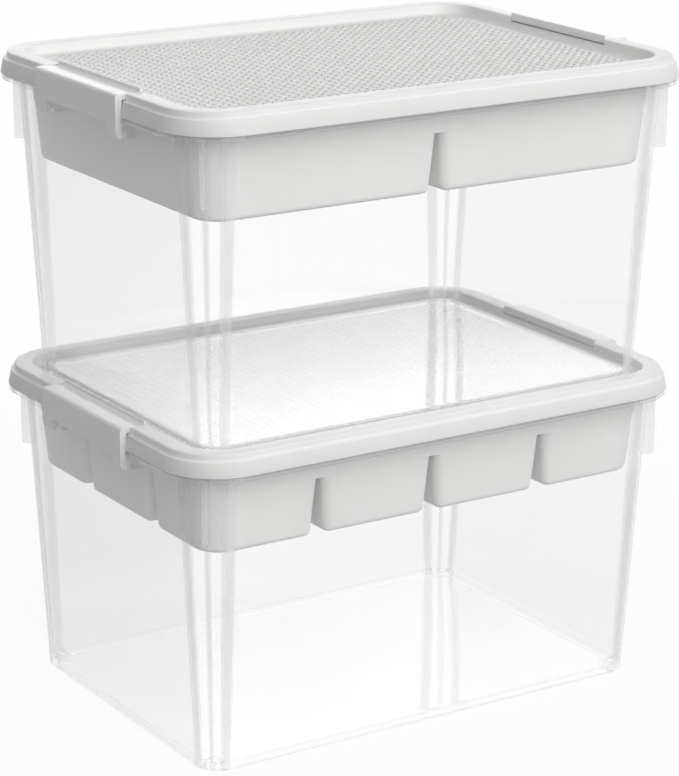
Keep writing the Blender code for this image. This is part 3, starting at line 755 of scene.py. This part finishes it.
def noise(tree, vector, scale, detail=3.0):
    """A noise texture on a vector."""
    node = tree.nodes.new("ShaderNodeTexNoise")
    node.inputs["Scale"].default_value = scale
    node.inputs["Detail"].default_value = detail
    tree.links.new(vector, node.inputs["Vector"])
    return node.outputs["Fac"]


def remap(tree, value, low, high, start=0.3, end=0.7):
    """A value from a range to another range."""
    node = tree.nodes.new("ShaderNodeMapRange")
    node.inputs["From Min"].default_value = start
    node.inputs["From Max"].default_value = end
    node.inputs["To Min"].default_value = low
    node.inputs["To Max"].default_value = high
    tree.links.new(value, node.inputs["Value"])
    return node.outputs["Result"]


def blend_colours(tree, factor, first, second):
    """Mix two colours by a factor."""
    node = tree.nodes.new("ShaderNodeMix")
    node.data_type = "RGBA"
    node.inputs["A"].default_value = first
    node.inputs["B"].default_value = second
    tree.links.new(factor, node.inputs["Factor"])
    return node.outputs["Result"]


def moulded_plastic(name, colour, shade, roughness, grain, sheen):
    """Opaque moulded plastic: faint mottling, uneven sheen and a fine moulded grain."""
    material, tree, output = new_material(name)
    shader = tree.nodes.new("ShaderNodeBsdfPrincipled")
    shader.inputs["Specular IOR Level"].default_value = sheen
    place = tree.nodes.new("ShaderNodeTexCoord").outputs["Object"]
    mottling = remap(tree, noise(tree, place, CLOUD_SCALE), 0, 1)
    tree.links.new(blend_colours(tree, mottling, colour, shade), shader.inputs["Base Color"])
    smear = noise(tree, place, SMEAR_SCALE)
    least, most = roughness + SMEAR_RANGE[0], roughness + SMEAR_RANGE[1]
    tree.links.new(remap(tree, smear, least, most), shader.inputs["Roughness"])
    bump = tree.nodes.new("ShaderNodeBump")
    bump.inputs["Strength"].default_value = grain
    bump.inputs["Distance"].default_value = GRAIN_DEPTH
    tree.links.new(noise(tree, place, GRAIN_SCALE, GRAIN_DETAIL), bump.inputs["Height"])
    tree.links.new(bump.outputs["Normal"], shader.inputs["Normal"])
    tree.links.new(shader.outputs["BSDF"], output.inputs["Surface"])
    return material


def calculate(tree, operation, first, second=None):
    """A math node on sockets or plain values."""
    node = tree.nodes.new("ShaderNodeMath")
    node.operation = operation
    for socket, value in zip(node.inputs, (first, second)):
        if isinstance(value, (int, float)):
            socket.default_value = value
        elif value is not None:
            tree.links.new(value, socket)
    return node.outputs[0]


def painted_corner_reflections(tree, place):
    """Painted reflections: bright upright bands where the tub's rounded corners start, peak and
    end.
    """
    split = tree.nodes.new("ShaderNodeSeparateXYZ")
    tree.links.new(place, split.inputs[0])
    along = calculate(tree, "ABSOLUTE", split.outputs["X"])
    across = calculate(tree, "ABSOLUTE", split.outputs["Y"])
    along = calculate(tree, "SUBTRACT", along, LID_LENGTH / 2 - LID_CORNER_RADIUS)
    across = calculate(tree, "SUBTRACT", across, LID_WIDTH / 2 - LID_CORNER_RADIUS)
    along = calculate(tree, "MAXIMUM", along, 0.0)
    across = calculate(tree, "MAXIMUM", across, 0.0)
    turned = calculate(tree, "ARCTAN2", across, along)
    ramp = tree.nodes.new("ShaderNodeValToRGB")
    elements = ramp.color_ramp.elements
    elements[0].position, elements[1].position = 0.0, 1.0
    elements[0].color = elements[1].color = (0, 0, 0, 1)
    for position, level in PAINTED_REFLECTION_STOPS:
        elements.new(position).color = (level, level, level, 1)
    tree.links.new(calculate(tree, "DIVIDE", turned, math.pi / 2), ramp.inputs["Fac"])
    return ramp.outputs["Color"]


def clear_plastic(name):
    """Clear moulded plastic: see-through, with a little haze and gloss that grows to the edges."""
    material, tree, output = new_material(name)
    place = tree.nodes.new("ShaderNodeTexCoord").outputs["Object"]
    weight = tree.nodes.new("ShaderNodeLayerWeight")
    weight.inputs["Blend"].default_value = 0.5
    facing = weight.outputs["Facing"]

    film = tree.nodes.new("ShaderNodeBsdfTransparent")
    film.inputs["Color"].default_value = FILM_COLOUR
    milk = tree.nodes.new("ShaderNodeMixShader")
    milk.inputs["Fac"].default_value = 0.5
    for kind, socket in (("ShaderNodeBsdfDiffuse", 1), ("ShaderNodeBsdfTranslucent", 2)):
        side = tree.nodes.new(kind)
        side.inputs["Color"].default_value = MILK_COLOUR
        tree.links.new(side.outputs[0], milk.inputs[socket])
    gloss = tree.nodes.new("ShaderNodeBsdfGlossy")
    gloss.inputs["Color"].default_value = WHITE
    smear = noise(tree, place, CLEAR_SMEAR_SCALE)
    tree.links.new(remap(tree, smear, *GLOSS_ROUGHNESS), gloss.inputs["Roughness"])

    body = tree.nodes.new("ShaderNodeMixShader")
    edges = remap(tree, calculate(tree, "POWER", facing, HAZE_POWER), *HAZE_RANGE, 0, 1)
    # Painted reflections: milk added in bright bands around the corners
    painted_reflections = calculate(tree, "MULTIPLY", painted_corner_reflections(tree, place), PAINTED_REFLECTION_STRENGTH)
    tree.links.new(calculate(tree, "ADD", edges, painted_reflections), body.inputs["Fac"])
    tree.links.new(film.outputs[0], body.inputs[1])
    tree.links.new(milk.outputs[0], body.inputs[2])
    coat = tree.nodes.new("ShaderNodeMixShader")
    shine = remap(tree, calculate(tree, "POWER", facing, SHINE_POWER), *SHINE_RANGE, 0, 1)
    tree.links.new(shine, coat.inputs["Fac"])
    tree.links.new(body.outputs[0], coat.inputs[1])
    tree.links.new(gloss.outputs[0], coat.inputs[2])
    tree.links.new(coat.outputs[0], output.inputs["Surface"])
    return material


MATERIALS = {
    look: moulded_plastic(look + "_plastic", *values) for look, values in PLASTICS.items()
}
MATERIALS["clear"] = clear_plastic("clear_tub_plastic")


# Assembly


def add_piece(name, mesh, look, body, location, turn=0.0, stands_for=None):
    """Put a named piece in the frame, let it ride on its body and give it its look."""
    own = mesh.copy()
    own.name = name
    own.transform(Matrix.Translation(location) @ Matrix.Rotation(turn, 4, "Z"))
    own.materials.clear()
    own.materials.append(MATERIALS[look])
    own.shade_smooth()
    own.set_sharp_from_angle(angle=SHARP_ANGLE)
    piece = bpy.data.objects.new(name, own)
    bpy.context.scene.collection.objects.link(piece)
    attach(piece, body)
    if stands_for:
        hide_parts(stands_for)
    return piece


def build_boxes():
    """Both boxes, moulding by moulding."""
    tub, lid, latch, studs = tub_mesh(), lid_mesh(), latch_mesh(), studs_mesh()
    for box, height in FOOT_HEIGHTS.items():
        stand = Vector((0, 0, height))
        tray = tray_mesh(*TRAY_SHARES[box])
        for part, mesh, look, slot in (
            ("_tub", tub, "clear", "clear_plastic"),
            ("_tray", tray, "tray", "tray_plastic"),
            ("_lid", lid, "lid", "lid_plastic"),
        ):
            node = box + part
            add_piece(node + "_shell", mesh, look, node, stand, 0, node)
        add_piece(box + "_lid_studs", studs, "stud", box + "_lid", stand)
        for side, sign, turn in (("left", -1, math.pi), ("right", 1, 0.0)):
            node = box + "_latch_" + side
            hinge = stand + Vector((sign * HINGE_X, 0, HINGE_HEIGHT))
            piece = add_piece(
                node + "_shell", latch, "latch", node, hinge, turn, node)
            bevel = piece.modifiers.new("Edges", "BEVEL")
            bevel.width = LATCH_BEVEL
            bevel.segments = 2
            bevel.limit_method = "ANGLE"
            bevel.angle_limit = LATCH_BEVEL_ANGLE
            bevel.harden_normals = True


# Camera and lights


def build_camera():
    """The camera of the photograph."""
    forward = Vector((
        math.sin(CAMERA_YAW) * math.cos(CAMERA_PITCH),
        math.cos(CAMERA_YAW) * math.cos(CAMERA_PITCH),
        -math.sin(CAMERA_PITCH),
    ))
    level = Vector((math.cos(CAMERA_YAW), -math.sin(CAMERA_YAW), 0))
    above = level.cross(forward)
    right = math.cos(CAMERA_ROLL) * level + math.sin(CAMERA_ROLL) * above
    up = -math.sin(CAMERA_ROLL) * level + math.cos(CAMERA_ROLL) * above
    camera = bpy.data.objects.new("camera", bpy.data.cameras.new("camera"))
    turned = Matrix((right, up, -forward)).transposed().to_4x4()
    camera.matrix_world = Matrix.Translation(CAMERA_PLACE) @ turned
    camera.data.sensor_width = CAMERA_SENSOR
    camera.data.lens = CAMERA_SENSOR * CAMERA_FOCAL_SHARE
    camera.data.shift_x, camera.data.shift_y = CAMERA_SHIFT
    camera.data.clip_start = CAMERA_NEAR
    camera.data.clip_end = CAMERA_FAR
    bpy.context.scene.collection.objects.link(camera)
    bpy.context.scene.camera = camera


def area_light(name, location, size, power):
    """A soft lamp that looks at the boxes."""
    lamp = bpy.data.lights.new(name, "AREA")
    lamp.shape = "RECTANGLE"
    lamp.size, lamp.size_y = size
    lamp.energy = power
    holder = bpy.data.objects.new(name, lamp)
    holder.location = location
    holder.rotation_mode = "QUATERNION"
    direction = Vector(LAMP_TARGET) - Vector(location)
    holder.rotation_quaternion = direction.to_track_quat("-Z", "Y")
    bpy.context.scene.collection.objects.link(holder)


def seen_rays(tree, path):
    """One for rays from the camera, off gloss or through glass, and nothing for the rest."""
    seen = calculate(tree, "MAXIMUM", path.outputs["Is Camera Ray"], path.outputs["Is Glossy Ray"])
    return calculate(tree, "MAXIMUM", seen, path.outputs["Is Transmission Ray"])


def build_floor():
    """A white floor that glows for the camera and keeps a faint shadow of the boxes."""
    material, tree, output = new_material("floor_white")
    diffuse = tree.nodes.new("ShaderNodeBsdfDiffuse")
    path = tree.nodes.new("ShaderNodeLightPath")
    colour = blend_colours(tree, path.outputs["Is Camera Ray"], FLOOR_UNSEEN, FLOOR_SEEN)
    tree.links.new(colour, diffuse.inputs["Color"])
    glow = tree.nodes.new("ShaderNodeEmission")
    glow.inputs["Strength"].default_value = 1.0
    location = tree.nodes.new("ShaderNodeTexCoord").outputs["Object"]
    length = tree.nodes.new("ShaderNodeVectorMath")
    length.operation = "LENGTH"
    tree.links.new(location, length.inputs[0])
    far = remap(tree, length.outputs["Value"], *GLOW_RANGE, *GLOW_REACH)
    mix = tree.nodes.new("ShaderNodeMixShader")
    tree.links.new(calculate(tree, "MULTIPLY", far, seen_rays(tree, path)), mix.inputs["Fac"])
    tree.links.new(diffuse.outputs[0], mix.inputs[1])
    tree.links.new(glow.outputs[0], mix.inputs[2])
    tree.links.new(mix.outputs[0], output.inputs["Surface"])
    shell = bmesh.new()
    half = FLOOR_HALF
    corners = (-half, -half), (half, -half), (half, half), (-half, half)
    shell.faces.new([shell.verts.new((x, y, -FLOOR_DROP)) for x, y in corners])
    mesh = bpy.data.meshes.new("floor")
    shell.to_mesh(mesh)
    shell.free()
    mesh.materials.append(material)
    floor = bpy.data.objects.new("floor", mesh)
    bpy.context.scene.collection.objects.link(floor)


def build_world():
    """A background that is white to look at and lights the boxes softly."""
    world = bpy.data.worlds.new("studio")
    world.use_nodes = True
    tree = world.node_tree
    tree.nodes.clear()
    output = tree.nodes.new("ShaderNodeOutputWorld")
    path = tree.nodes.new("ShaderNodeLightPath")
    mix = tree.nodes.new("ShaderNodeMixShader")
    for colour, strength, socket in ((WORLD_COLOUR, WORLD_STRENGTH, 1), (WHITE, 1.0, 2)):
        background = tree.nodes.new("ShaderNodeBackground")
        background.inputs["Color"].default_value = colour
        background.inputs["Strength"].default_value = strength
        tree.links.new(background.outputs[0], mix.inputs[socket])
    tree.links.new(seen_rays(tree, path), mix.inputs["Fac"])
    tree.links.new(mix.outputs[0], output.inputs["Surface"])
    bpy.context.scene.world = world


def build_stage():
    """A white floor, a white background and soft studio light."""
    build_floor()
    build_world()
    for name, values in LAMPS.items():
        area_light(name, *values)


build_boxes()
build_camera()
build_stage()
bpy.context.scene.view_settings.view_transform = "Standard"
